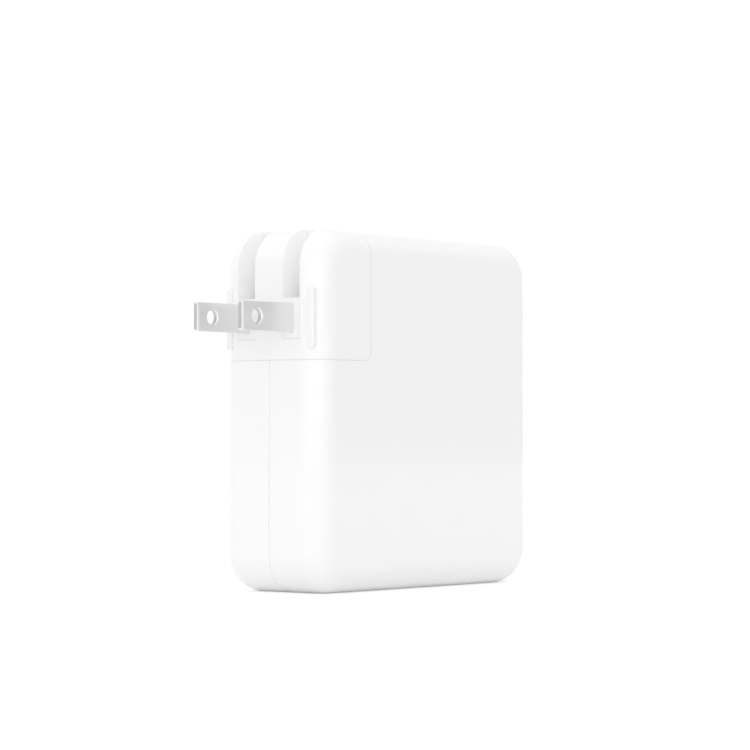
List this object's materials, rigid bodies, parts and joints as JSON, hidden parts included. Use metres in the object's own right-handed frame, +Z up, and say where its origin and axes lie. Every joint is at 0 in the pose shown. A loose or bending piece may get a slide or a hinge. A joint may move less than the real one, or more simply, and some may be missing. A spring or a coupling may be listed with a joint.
{
  "type": "laptop power adapter",
  "caption": "Square white laptop power adapter in two shells, with a removable corner plug, folding flat blades and a USB-C outlet.",
  "frame": {"origin": "centre of the flat bottom narrow side, the face it rests on", "axes": "+Z up; X along the long side, with the blades pointing to -X; the big front face looks to -Y"},
  "size_m": [0.097, 0.029, 0.08],
  "materials": {
    "shell_plastic": "glossy white polycarbonate",
    "inner_plastic": "white moulded insulator",
    "carrier_plastic": "white moulded hinge blocks",
    "blade_metal": "nickel-plated brass, satin",
    "contact_metal": "nickel-plated brass",
    "gold_contacts": "gold-plated contacts",
    "steel": "stainless steel",
    "black_plastic": "black moulded tongue",
    "board": "green solder mask",
    "wire_sleeve": "insulated lead",
    "component_dark": "black moulded package",
    "ferrite": "dark grey ferrite",
    "winding": "enamelled copper wire",
    "component_light": "moulded bobbin",
    "capacitor_film": "blue dipped component",
    "capacitor_can": "sleeved aluminium can",
    "aluminium": "plain aluminium sheet",
    "sheet": "insulating film",
    "pad": "soft thermal pad"
  },
  "bodies": {
    "housing": {"ac_inlet_body": "inner_plastic", "bridge_rectifier": "component_dark", "bulk_capacitor": "capacitor_can", "control_chips": "component_dark", "emi_choke_core": "ferrite", "emi_choke_windings": "winding", "front_heat_spreader": "aluminium", "front_insulating_sheet": "sheet", "front_shell": "shell_plastic", "front_thermal_pads": "pad", "fuse": "component_dark", "inlet_pin_line": "contact_metal", "inlet_pin_neutral": "contact_metal", "inlet_wire_line": "wire_sleeve", "inlet_wire_neutral": "wire_sleeve", "inrush_thermistor": "capacitor_film", "isolation_barrier": "component_light", "locking_stud": "steel", "main_mosfets": "component_dark", "main_pcb": "board", "optocoupler": "component_dark", "output_capacitors": "capacitor_can", "output_inductor": "component_dark", "pfc_diode": "component_dark", "pfc_inductor_bobbin": "component_light", "pfc_inductor_core": "ferrite", "pfc_inductor_winding": "winding", "pfc_mosfet": "component_dark", "power_delivery_chip": "component_dark", "primary_heatsink": "aluminium", "rear_heat_spreader": "aluminium", "rear_insulating_sheet": "sheet", "rear_shell": "shell_plastic", "rear_thermal_pads": "pad", "stud_retainer": "steel", "synchronous_rectifiers": "component_dark", "transformer_bobbin": "component_light", "transformer_core": "ferrite", "transformer_windings": "winding", "usb_board": "board", "usb_board_header": "component_dark", "usb_contacts": "gold_contacts", "usb_receptacle_shell": "steel", "usb_tongue": "black_plastic", "varistor": "capacitor_film", "x_capacitor": "capacitor_film", "y_capacitors": "capacitor_film"},
    "plug_module": {"plug_housing": "shell_plastic", "plug_base_cover": "inner_plastic", "stud_slot_plate": "steel", "contact_sleeve_line": "contact_metal", "contact_sleeve_neutral": "contact_metal", "contact_spring_line": "contact_metal", "contact_spring_neutral": "contact_metal", "detent_spring": "steel"},
    "blade_assembly": {"blade_carrier": "carrier_plastic", "blade_line": "blade_metal", "blade_neutral": "blade_metal", "blade_axle": "steel"}
  },
  "joints": [
    {"name": "plug_slide", "type": "slide", "parent": "housing", "child": "plug_module", "axis": [0, 0, 1], "range_m": [0, 0.042]},
    {"name": "blade_fold", "type": "hinge", "parent": "plug_module", "child": "blade_assembly", "pos_m": [-0.0365, 0, 0.05912], "axis": [0, 1, 0], "range_deg": [0, 90]}
  ]
}
